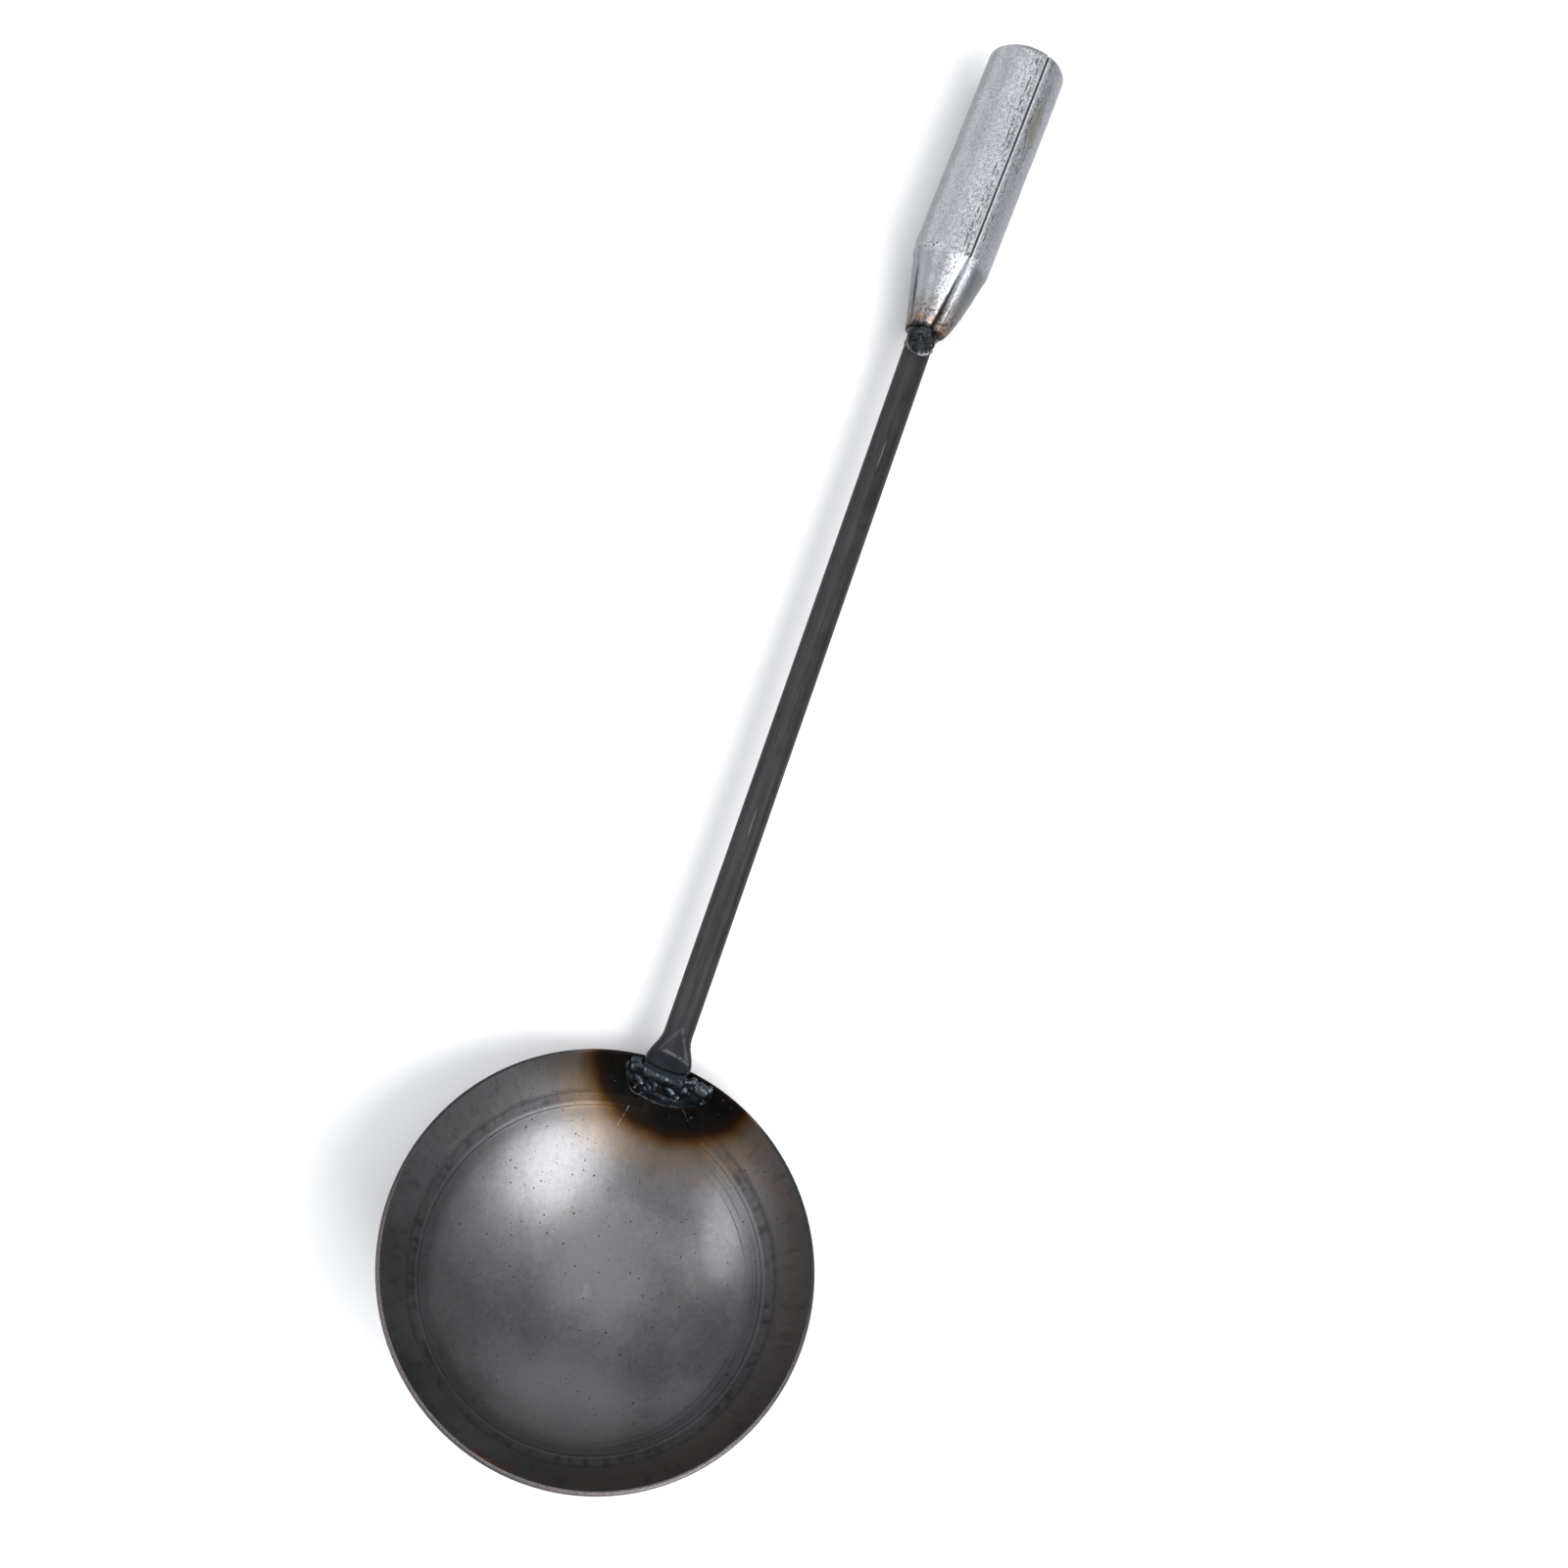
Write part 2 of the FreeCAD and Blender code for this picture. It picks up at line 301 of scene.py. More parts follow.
    def stroke(self, place, start, end, half_width):
        """Thin straight stroke between two points."""
        run = end - start
        reach = self.vector("SUBTRACT", place, start)
        along = self.vector("DOT_PRODUCT", reach, run / run.length_squared, output="Value")
        along = self.node("Clamp", {"Value": along}).outputs["Result"]
        spine = self.node("VectorMath", {"Vector": tuple(run), "Scale": along}, operation="SCALE")
        away = self.distance(reach, spine.outputs["Vector"])
        return self.fall(away, 0.2 * half_width, half_width)

    def finish(self, colour, roughness, height, depth, metallic):
        """Colour and roughness of the shader, and bumps whose depth is in millimetres."""
        self.tree.links.new(colour, self.shader.inputs["Base Color"])
        self.tree.links.new(roughness, self.shader.inputs["Roughness"])
        self.shader.inputs["Metallic"].default_value = metallic
        bump = self.node("Bump", {"Height": height, "Distance": depth * MM, "Strength": 1.0})
        self.tree.links.new(bump.outputs["Normal"], self.shader.inputs["Normal"])
        return self.material


def ball_angles(paint, place):
    """Angle round the bowl and angle below level, in degrees, and radius, in the ball's frame."""
    x, y, z = paint.split(place)
    radius = paint.length(place)
    sine = paint.math("DIVIDE", paint.times(z, -1.0), radius)
    below = paint.math("DEGREES", paint.math("ARCSINE", sine))
    return paint.turn(x, y), below, radius


def steel_base(paint, place, cloud, grain):
    """Clouded and mottled steel, with a painted reflection lighter on the far side, darker at the bottom,
    and a thin film.
    """
    colour = paint.mix(paint.rise(cloud, 0.36, 0.64), (0.15, 0.148, 0.155), (0.19, 0.188, 0.197))
    skin = paint.noise(place, 0.55, 4.0, 0.75)
    colour = paint.over(colour, (0.085, 0.083, 0.087), paint.rise(skin, 0.5, 0.66), 0.22)
    colour = paint.over(colour, (0.28, 0.277, 0.288), paint.fall(skin, 0.34, 0.5), 0.17)
    # Painted reflection: a lighter patch deep on the far side of the dish.
    far_side_reflection = paint.fall(paint.distance(place, on_wall(58.0, -173.0)), 8.0, 27.0)
    colour = paint.over(colour, (0.28, 0.278, 0.289), far_side_reflection, 0.75)
    film = paint.noise(paint.shift(place, 0.0, 70.0, 0.0), 0.03, 3.0, 0.5, 0.6)
    colour = paint.over(colour, (0.25, 0.248, 0.26), paint.rise(film, 0.5, 0.525), 0.16)
    # Darker towards the bottom of the dish.
    darker_bottom = paint.fall(paint.distance(place, on_wall(81.0, 0.0)), 5.0, 21.0)
    colour = paint.over(colour, (0.125, 0.123, 0.129), darker_bottom, 0.7)
    return paint.over(colour, (0.08, 0.08, 0.086), paint.rise(grain, 0.45, 0.75), 0.3)


def outer_band(paint, colour, around, below, cloud, right_side):
    """Between the rim and the pressed band: darker, with painted light on the left, warm on the right, and
    smeared.
    """
    band = paint.fall(below, rim_angle + band_high - 1.0, rim_angle + band_high + 2.0)
    colour = paint.over(colour, (0.1, 0.092, 0.092), band, 0.35)
    # Painted light: the band is made paler on its left.
    colour = paint.over(colour, (0.22, 0.212, 0.208), band, paint.line(around, 48.0, 48.0), 0.3)
    colour = paint.over(colour, (0.135, 0.1, 0.08), band, paint.rise(cloud, 0.25, 0.7), right_side, 0.6)
    smears = paint.noise(paint.join(around, paint.times(below, 0.3), 0.0), 0.35, 4.0, 0.7)
    return paint.over(colour, (0.05, 0.045, 0.043), band, paint.rise(smears, 0.52, 0.68), 0.35)


def press_marks(paint, colour, around, below, right_side):
    """Pressed band with blurred short marks across it, painted shade below it and thin drawn lines."""
    ring_high = rim_angle + band_high
    ring_low = rim_angle + band_low
    stretched = paint.join(paint.times(around, 0.3), paint.times(below, 0.2), 0.0)
    ticks = paint.rise(paint.noise(stretched, 1.0, 1.0, 0.5), 0.44, 0.7)
    ring = paint.times(paint.rise(below, ring_high - 1.0, ring_high + 1.2),
                       paint.fall(below, ring_low - 1.6, ring_low + 0.4))
    colour = paint.over(colour, (0.04, 0.039, 0.041), ring, paint.plus(0.52, paint.times(ticks, 0.3)))
    # Painted shade: a darker strip on the dish just below the pressed band.
    painted_ring_shade = paint.times(paint.rise(below, ring_low - 1.6, ring_low + 0.4),
                        paint.fall(below, ring_low + 1.5, ring_low + 7.0))
    colour = paint.over(colour, (0.05, 0.049, 0.052), painted_ring_shade, 0.42)

    broken = paint.rise(paint.noise(stretched, 0.35, 2.0), 0.38, 0.58)
    upper_edge = paint.times(paint.line(below, ring_high, 0.5), broken, 0.5)
    lower_edge = paint.times(paint.line(below, ring_low + 0.2, 0.4), 0.9)
    lines = paint.strongest(upper_edge, lower_edge)
    for offset, half_width in ((1.7, 0.22), (2.9, 0.26), (4.6, 0.2)):
        worn_off = paint.noise(paint.shift(stretched, offset, 4.0, offset), 0.2, 1.0)
        drawn_line = paint.times(paint.line(below, ring_low + offset, half_width),
                                 paint.rise(worn_off, 0.4, 0.62), paint.plus(0.12, right_side), 0.8)
        lines = paint.strongest(lines, drawn_line)
    colour = paint.over(colour, (0.03, 0.03, 0.031), lines, 0.5)
    return colour, ring, lines


def heat_tint(paint, colour, place, from_weld, fringe):
    """Straw, brown, then blue-black towards the weld."""
    straw = paint.times(paint.fall(from_weld, 27.0, 43.0), paint.rise(fringe, 0.15, 0.55))
    colour = paint.over(colour, (0.23, 0.155, 0.085), straw, 0.65)
    colour = paint.over(colour, (0.11, 0.052, 0.017), paint.fall(from_weld, 25.0, 30.5))
    colour = paint.over(colour, (0.03, 0.014, 0.008), paint.fall(from_weld, 23.5, 26.8))
    murk = paint.rise(paint.noise(place, 0.12, 3.0, 0.6), 0.35, 0.65)
    soot = paint.mix(murk, (0.008, 0.0095, 0.0085), (0.017, 0.013, 0.011))
    soot = paint.over(soot, (0.04, 0.02, 0.012), paint.rise(fringe, 0.56, 0.7), 0.4)
    return paint.over(colour, soot, paint.fall(from_weld, 21.0, 25.0))


def tint_scratches(paint, colour, place, fringe):
    """Two thin, slightly bent scratches across the tint."""
    bend = paint.vector("SUBTRACT", paint.colour_noise(place, 0.4), (0.5, 0.5, 0.5))
    bent_place = paint.vector("ADD", place, bend)
    broken = paint.rise(fringe, 0.3, 0.5)
    for start, end, half_width, strength in (
        ((42.4, 7.0), (48.2, 9.2), 0.22, 0.4),
        ((37.6, -9.9), (39.7, -13.2), 0.2, 0.35),
    ):
        scratch = paint.stroke(bent_place, on_wall(*start), on_wall(*end), half_width)
        colour = paint.over(colour, (0.5, 0.46, 0.42), scratch, broken, strength)
    return colour


def rust_marks(paint, colour, place):
    """Rust on the far rim, and a brown streak low on the right."""
    flaky = paint.noise(place, 0.7, 3.0)
    rust = paint.stroke(place, on_wall(29.0, 165.0), on_wall(29.8, 176.0), 1.6)
    colour = paint.over(colour, (0.26, 0.09, 0.03), rust, paint.rise(flaky, 0.3, 0.5), 0.85)
    streak = paint.stroke(place, on_wall(60.5, -70.0), on_wall(66.5, -84.0), 0.9)
    return paint.over(colour, (0.2, 0.13, 0.09), streak, paint.rise(flaky, 0.3, 0.7), 0.5)


def cut_rim(paint, colour, around, below, from_weld, grain):
    """Cut edge of the sheet: pale on the far side, dark towards the handle."""
    pale_edge = paint.mix(paint.rise(grain, 0.35, 0.7), (0.17, 0.145, 0.148), (0.07, 0.06, 0.061))
    far_side = paint.rise(paint.math("ABSOLUTE", around), 62.0, 112.0)
    edge = paint.mix(far_side, (0.05, 0.05, 0.053), pale_edge)
    cut = paint.fall(below, rim_angle - 0.02, rim_angle + 0.12)
    return paint.over(colour, edge, cut, paint.rise(from_weld, 24.0, 34.0))


def paint_bowl():
    """Dark sheet steel with heat tint round the weld, press marks, pits and specks of rust."""
    paint = Paint("bowl_steel_finish")
    place = paint.local(ball_frame)
    around, below, radius = ball_angles(paint, place)
    cloud = paint.noise(place, 0.045, 2.5, 0.5)
    grain = paint.noise(place, 2.4, 4.0, 0.7)
    fringe = paint.noise(place, 0.22, 3.0, 0.6)
    right_side = paint.rise(paint.times(around, -1.0), 10.0, 60.0)
    from_weld = paint.plus(paint.distance(place, on_wall(26.0, -3.2)), paint.wander(place, 0.1, 3.5))

    colour = steel_base(paint, place, cloud, grain)
    colour = outer_band(paint, colour, around, below, cloud, right_side)
    colour, ring, lines = press_marks(paint, colour, around, below, right_side)
    pits = paint.strongest(
        paint.spots(place, 0.2, 0.075, 0.5),
        paint.spots(place, 0.4, 0.115, 0.55),
        paint.spots(place, 0.8, 0.15, 0.3),
    )
    colour = paint.over(colour, (0.012, 0.011, 0.012), pits, 0.9)
    specks = paint.spots(paint.shift(place, 31.0, 7.0, 3.0), 0.25, 0.1, 0.5)
    colour = paint.over(colour, (0.26, 0.1, 0.04), specks, 0.6)
    colour = heat_tint(paint, colour, place, from_weld, fringe)
    colour = tint_scratches(paint, colour, place, fringe)
    colour = rust_marks(paint, colour, place)
    colour = cut_rim(paint, colour, around, below, from_weld, grain)

    outside = paint.rise(radius, inner_r + 0.4, outer_r - 0.4)
    roughness = paint.plus(0.3, paint.times(cloud, 0.2), paint.times(ring, 0.1), paint.times(outside, 0.08))
    height = paint.plus(paint.times(grain, 0.2), paint.times(cloud, 3.0))
    height = paint.minus(height, paint.strongest(pits, paint.times(lines, 0.5)))
    return paint.finish(colour, roughness, height, 0.05, 1.0)


def forged_end(paint, colour, place, blotch):
    """Blue-black where the bar was forged, with a paler cut end and painted highlights along the edges of
    the flat.
    """
    x, y, z = paint.split(place)
    colour = paint.over(colour, (0.02, 0.02, 0.024), paint.fall(z, 4.0, 18.0), 0.7)
    panel = paint.fall(z, facet_low - 0.6, facet_low + 0.3)
    bluing = paint.mix(paint.rise(blotch, 0.35, 0.65), (0.005, 0.007, 0.009), (0.01, 0.014, 0.018))
    colour = paint.over(colour, bluing, panel)
    cut_end = paint.fall(x, facet_lip - 1.2, facet_lip - 0.5)
    colour = paint.over(colour, (0.05, 0.062, 0.074), panel, cut_end)

    # Each edge runs from one point to another of the flat, as right and along the bar.
    from_above = paint.join(0.0, y, z)
    # Painted highlights along the edges of the flat, on its upper side only.
    painted_highlight = 0.0
    for start, end, strength in (
        ((0.0, 11.0), (-3.7, 4.6), 0.25),
        ((0.3, 11.0), (5.4, 1.9), 0.35),
        ((-3.4, 3.9), (2.5, 3.0), 0.9),
        ((2.5, 3.0), (5.4, 1.9), 0.7),
    ):
        edge = paint.stroke(from_above, Vector((0.0, *start)), Vector((0.0, *end)), 0.7)
        painted_highlight = paint.strongest(painted_highlight, paint.times(edge, strength))
    upper_side = paint.rise(x, 0.0, 1.0)
    flaked = paint.rise(paint.noise(place, 0.9, 3.0), 0.3, 0.55)
    return paint.over(colour, (0.14, 0.145, 0.155), painted_highlight, upper_side, flaked, 0.8)


def paint_bar():
    """Hot-rolled bar with dark mill scale, blue-black where it was forged."""
    paint = Paint("bar_steel_finish")
    place = paint.local(rod_frame)
    x, y, z = paint.split(place)
    drawn = paint.join(x, y, paint.times(z, 0.04))
    streaks = paint.noise(drawn, 1.3, 4.0, 0.65)
    blotch = paint.noise(place, 0.12, 4.0, 0.6, 0.4)
    grain = paint.noise(place, 3.5, 3.0, 0.7)

    colour = paint.mix(paint.rise(blotch, 0.3, 0.7), (0.021, 0.0185, 0.02), (0.035, 0.031, 0.033))
    colour = paint.over(colour, (0.066, 0.062, 0.063), paint.rise(streaks, 0.52, 0.7), 0.5)
    # Painted highlight: a pale streak along the bar, left of its middle, on the upper side.
    streak_highlight = paint.line(paint.plus(y, paint.wander(drawn, 0.9, 1.6)), -1.9, 2.2)
    colour = paint.over(colour, (0.09, 0.086, 0.088), streak_highlight, paint.rise(x, 0.0, 1.0), 0.4)
    colour = paint.over(colour, (0.016, 0.014, 0.015), paint.fall(streaks, 0.3, 0.45), 0.6)
    flecks = paint.spots(drawn, 0.5, 0.12, 0.3)
    colour = paint.over(colour, (0.2, 0.18, 0.17), flecks, 0.5)
    colour = forged_end(paint, colour, place, blotch)
    heated = paint.rise(z, rod_length - 16.0, rod_length - 2.0)
    colour = paint.over(colour, (0.022, 0.02, 0.022), heated, 0.5)
    roughness = paint.plus(0.46, paint.times(blotch, 0.2))
    height = paint.plus(streaks, paint.times(grain, 0.5), blotch)
    return paint.finish(colour, roughness, height, 0.06, 0.8)


def zinc_base(paint, place, mottle, patch, streaks):
    """Mottled blue-grey zinc, crusty in places, with darker patches and streaks."""
    colour = paint.mix(paint.rise(mottle, 0.4, 0.56), (0.25, 0.262, 0.276), (0.53, 0.543, 0.56))
    crust = paint.noise(place, 0.75, 3.0, 0.6)
    colour = paint.over(colour, (0.27, 0.28, 0.295), paint.fall(crust, 0.36, 0.52), 0.26)
    colour = paint.over(colour, (0.7, 0.71, 0.725), paint.rise(crust, 0.54, 0.68), 0.26)
    colour = paint.over(colour, (0.34, 0.362, 0.385), paint.rise(patch, 0.4, 0.7), 0.3)
    return paint.over(colour, (0.22, 0.227, 0.24), paint.rise(streaks, 0.54, 0.74), 0.5)


def tube_marks(paint, colour, drawn, turn):
    """Short dark marks, most of them beside the seam, painted shade down both sides and a painted highlight
    band left of the top.
    """
    marks = paint.rise(paint.noise(paint.shift(drawn, 5.0, 3.0, 0.0), 2.2, 2.0, 0.5), 0.63, 0.68)
    beside_seam = paint.strongest(paint.line(turn, seam_angle - 9.0, 20.0),
                                  paint.line(turn, seam_angle + 16.0, 14.0))
    colour = paint.over(colour, (0.07, 0.07, 0.072), marks, paint.plus(0.35, beside_seam), 0.6)
    # Painted shade: darker bands down both sides of the tube.
    side_shade = paint.strongest(paint.rise(turn, 16.0, 42.0), paint.fall(turn, -62.0, -48.0))
    colour = paint.over(colour, (0.2, 0.218, 0.24), side_shade, 0.55)
    # Painted highlight: a paler band left of the top of the tube.
    return paint.over(colour, (0.72, 0.735, 0.755), paint.line(turn, -34.0, 34.0), 0.34)


def tube_stain(paint, colour, place, turn, z):
    """Olive-brown stain to the right of the seam, with a darker rim."""
    out_along = paint.times(paint.math("ABSOLUTE", paint.minus(z, stain_run)), 0.075)
    out_round = paint.times(paint.math("ABSOLUTE", paint.minus(turn, stain_angle)), 0.085)
    reach = paint.plus(out_along, out_round, paint.wander(place, 0.25, 2.0, 3.0, 0.6))
    colour = paint.over(colour, (0.2, 0.19, 0.15), paint.fall(reach, 0.5, 1.1), 0.75)
    return paint.over(colour, (0.08, 0.072, 0.058), paint.line(reach, 1.05, 0.12), 0.6)


def tube_seam(paint, colour, turn, z):
    """Dark seam in a pale lip, filled unevenly, and broken dark lines beside it."""
    along = paint.join(0.0, 0.0, z)
    colour = paint.over(colour, (0.72, 0.74, 0.76), paint.line(turn, seam_angle, 6.0), 0.5)
    filled = paint.rise(paint.noise(along, 0.3, 3.0, 0.7), 0.28, 0.46)
    seam = paint.line(turn, seam_angle, 2.3)
    colour = paint.over(colour, (0.018, 0.017, 0.018), seam, paint.plus(0.45, paint.times(filled, 0.5)))
    weaving = paint.plus(turn, paint.wander(along, 0.12, 6.0))
    for offset, half_width, seed in ((-15.0, 1.6, 0.0), (-9.0, 1.3, 40.0), (10.0, 1.2, 90.0)):
        dashes = paint.line(weaving, seam_angle + offset, half_width)
        broken = paint.rise(paint.noise(paint.shift(along, 0.0, 0.0, seed), 0.13, 3.0, 0.75), 0.47, 0.54)
        colour = paint.over(colour, (0.05, 0.05, 0.052), dashes, broken, 0.85)
    return colour


def tube_crimp(paint, colour, place, turn, z, mottle, crimped):
    """Dotted crease at the die's edge and darker metal below it, with a painted highlight along the middle.
    """
    dotted = paint.rise(paint.noise(place, 0.9, 2.0), 0.5, 0.58)
    left_or_seam = paint.strongest(paint.line(turn, -42.0, 32.0), paint.line(turn, seam_angle, 12.0))
    crease = paint.line(z, die_edge + 0.2, 0.8)
    colour = paint.over(colour, (0.03, 0.03, 0.031), crease, dotted, paint.plus(0.25, left_or_seam), 0.85)
    colour = paint.over(colour, (0.2, 0.22, 0.245), crimped, 0.5)
    # Painted highlight along the middle of the crimp.
    painted_highlight = paint.times(paint.line(turn, 5.0, 24.0), paint.rise(mottle, 0.38, 0.54))
    colour = paint.over(colour, (0.72, 0.73, 0.75), crimped, painted_highlight, 0.75)

    # The lobe to the right of the fold is darker, with a painted highlight on the ridge along the fold.
    right_lobe = paint.rise(turn, seam_angle + 10.0, seam_angle + 24.0)
    colour = paint.over(colour, (0.13, 0.138, 0.142), crimped, right_lobe, 0.82)
    ridge_highlight = paint.times(paint.line(turn, seam_angle + 9.0, 6.0), paint.rise(mottle, 0.36, 0.52))
    return paint.over(colour, (0.7, 0.72, 0.73), crimped, ridge_highlight, 0.7)


def tube_tip(paint, colour, place, crimped):
    """Painted shade in the folds, and heat tint and soot at the tip."""
    x, y, z = paint.split(place)
    reach = paint.length(paint.join(x, y, 0.0))
    share = paint.math("POWER", paint.strongest(paint.math("DIVIDE", z, die_edge), 0.0), 0.8)
    lobes = paint.plus(tip_r, paint.times(share, tube_r - shoulder_step - tip_r))
    # Painted shade deep in the folds of the crimp.
    fold_shade = paint.rise(paint.minus(lobes, reach), 1.0, 1.9)
    colour = paint.over(colour, (0.02, 0.019, 0.02), fold_shade, crimped, 0.9)
    from_tip = paint.plus(z, paint.wander(place, 0.4, 5.0, 3.0))
    colour = paint.over(colour, (0.2, 0.17, 0.15), paint.fall(from_tip, 4.0, 12.0), 0.6)
    brown_spots = paint.rise(paint.noise(place, 0.4, 2.0), 0.42, 0.6)
    colour = paint.over(colour, (0.22, 0.12, 0.06), paint.fall(from_tip, 1.6, 3.8), brown_spots, 0.8)
    soot = paint.rise(paint.noise(place, 0.9, 2.0), 0.52, 0.6)
    colour = paint.over(colour, (0.03, 0.025, 0.024), paint.fall(z, 3.0, 9.0), soot, 0.8)
    return paint.over(colour, (0.02, 0.017, 0.017), paint.fall(from_tip, -1.0, 0.6))


def paint_tube():
    """Galvanised sheet: mottled blue-grey, with dark marks, a stain, a dark seam and a heated tip."""
    paint = Paint("galvanised_finish")
    place = paint.local(tube_frame)
    x, y, z = paint.split(place)
    turn = paint.turn(x, y)
    drawn = paint.join(x, y, paint.times(z, 0.15))
    mottle = paint.noise(place, 1.5, 2.0, 0.7)
    patch = paint.noise(place, 0.09, 3.0, 0.6, 0.5)
    streaks = paint.noise(drawn, 1.1, 4.0, 0.7)
    wear = paint.noise(place, 2.6, 2.0, 0.5)
    worn = paint.times(paint.rise(wear, 0.59, 0.66), paint.rise(patch, 0.36, 0.6))
    crimped = paint.fall(z, die_edge - 2.5, die_edge + 0.5)

    colour = zinc_base(paint, place, mottle, patch, streaks)
    colour = paint.over(colour, (0.12, 0.123, 0.128), worn, 0.65)
    colour = tube_marks(paint, colour, drawn, turn)
    colour = tube_stain(paint, colour, place, turn, z)
    colour = tube_seam(paint, colour, turn, z)
    colour = tube_crimp(paint, colour, place, turn, z, mottle, crimped)
    colour = tube_tip(paint, colour, place, crimped)
    roughness = paint.plus(paint.minus(0.4, paint.times(crimped, 0.1)), paint.times(mottle, 0.2))
    height = paint.plus(paint.times(mottle, 0.9), paint.times(streaks, 0.5))
    return paint.finish(colour, roughness, paint.minus(height, worn), 0.09, 0.85)


def puddle_rim_highlight(paint):
    """Painted highlight line round the left and lower side of the puddle on the bar."""
    x, y, z = paint.split(paint.local(rod_frame))
    down = paint.minus(z, puddle_middle)
    reach = paint.length(paint.join(0.0, y, down))
    line = paint.line(reach, puddle_r + 0.2, 0.5)
    return paint.times(line, paint.rise(x, 1.0, 2.0), paint.fall(down, -0.5, 1.5))


def paint_weld(name, dark, pale):
    """Blue-black weld metal, glossy, with small pits, a little brown, painted glints and a painted
    highlight on the puddle's rim.
    """
    paint = Paint(name)
    place = paint.local(ball_frame)
    patch = paint.noise(place, 0.3, 3.0, 0.6)
    grain = paint.noise(place, 3.0, 3.0, 0.6)
    colour = paint.mix(paint.rise(patch, 0.4, 0.62), dark, pale)
    brown = paint.rise(paint.noise(paint.shift(place, 9.0, 2.0, 5.0), 0.35, 3.0, 0.6), 0.58, 0.68)
    colour = paint.over(colour, (0.04, 0.018, 0.009), brown, 0.7)
    # Painted highlights: small pale glints.
    glints = paint.spots(place, 1.1, 0.2, 0.12)
    colour = paint.over(colour, (0.35, 0.36, 0.37), glints, 0.6)
    # Painted highlight along the puddle's rim.
    colour = paint.over(colour, (0.24, 0.24, 0.235), puddle_rim_highlight(paint), paint.rise(grain, 0.35, 0.55), 0.6)
    pits = paint.spots(paint.shift(place, 3.0, 8.0, 1.0), 0.8, 0.16, 0.35)
    colour = paint.over(colour, (0.004, 0.004, 0.005), pits)
    roughness = paint.plus(0.2, paint.times(grain, 0.16))
    height = paint.minus(paint.times(grain, 0.5), pits)
    return paint.finish(colour, roughness, height, 0.08, 0.9)


def paint_floor():
    """Plain matt white surface."""
    paint = Paint("floor_finish")
    place = paint.local(Matrix.Scale(MM, 4))
    fleck = paint.noise(place, 0.02, 3.0)
    colour = paint.mix(fleck, (0.86, 0.86, 0.86), (0.9, 0.9, 0.9))
    roughness = paint.plus(0.7, paint.times(fleck, 0.1))
    return paint.finish(colour, roughness, fleck, 0.01, 0.0)


def give_material(piece, material):
    piece.data.materials.clear()
    piece.data.materials.append(material)


def add_piece(name, mesh, place_frame, material):
    """Place a mesh made in millimetres, smooth it and give it its finish."""
    mesh.transform(place_frame)
    mesh.polygons.foreach_set("use_smooth", [True] * len(mesh.polygons))
    piece = bpy.data.objects.new(name, mesh)
    bpy.context.scene.collection.objects.link(piece)
    give_material(piece, material)
    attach(piece, "root")
    return piece


def mesh_from(shape, name):
    """Turn a finished bmesh into a mesh."""
    mesh = bpy.data.meshes.new(name)
    shape.to_mesh(mesh)
    shape.free()
    return mesh


def add_ball(shape, middle, radius):
    bmesh.ops.create_icosphere(shape, subdivisions=2, radius=radius, matrix=Matrix.Translation(middle))


def rope(points, radius):
    """Balls strung close together along a line of points, as (middle, radius)."""
    spacing = 0.4 * radius
    balls = []
    for start, end in zip(points, points[1:]):
        count = max(1, round((end - start).length / spacing))
        balls += [(start.lerp(end, share / count), radius) for share in range(count)]
    return balls + [(points[-1], radius)]


def melt(name, balls, rounds):
    """Mesh of one smooth skin over overlapping balls, in millimetres."""
    lumps = bmesh.new()
    for middle, radius in balls:
        add_ball(lumps, middle, radius)
    rough = mesh_from(lumps, name + "_lumps")
    shape = bpy.data.objects.new(name + "_lumps", rough)
    bpy.context.scene.collection.objects.link(shape)
    skin = shape.modifiers.new("skin", "REMESH")
    skin.mode = "VOXEL"
    skin.voxel_size = weld_voxel
    flow = shape.modifiers.new("flow", "SMOOTH")
    flow.iterations = rounds
    depsgraph = bpy.context.evaluated_depsgraph_get()
    mesh = bpy.data.meshes.new_from_object(shape.evaluated_get(depsgraph))
    mesh.name = name
    bpy.data.objects.remove(shape)
    bpy.data.meshes.remove(rough)
    return mesh


def ripple(mesh, waves):
    """Push the skin in and out by noise: waves per millimetre and depth in millimetres."""
    normals = [vertex.normal.copy() for vertex in mesh.vertices]
    for vertex, normal in zip(mesh.vertices, normals):
        push = sum(noise.noise(vertex.co * rate) * depth for rate, depth in waves)
        vertex.co += normal * push


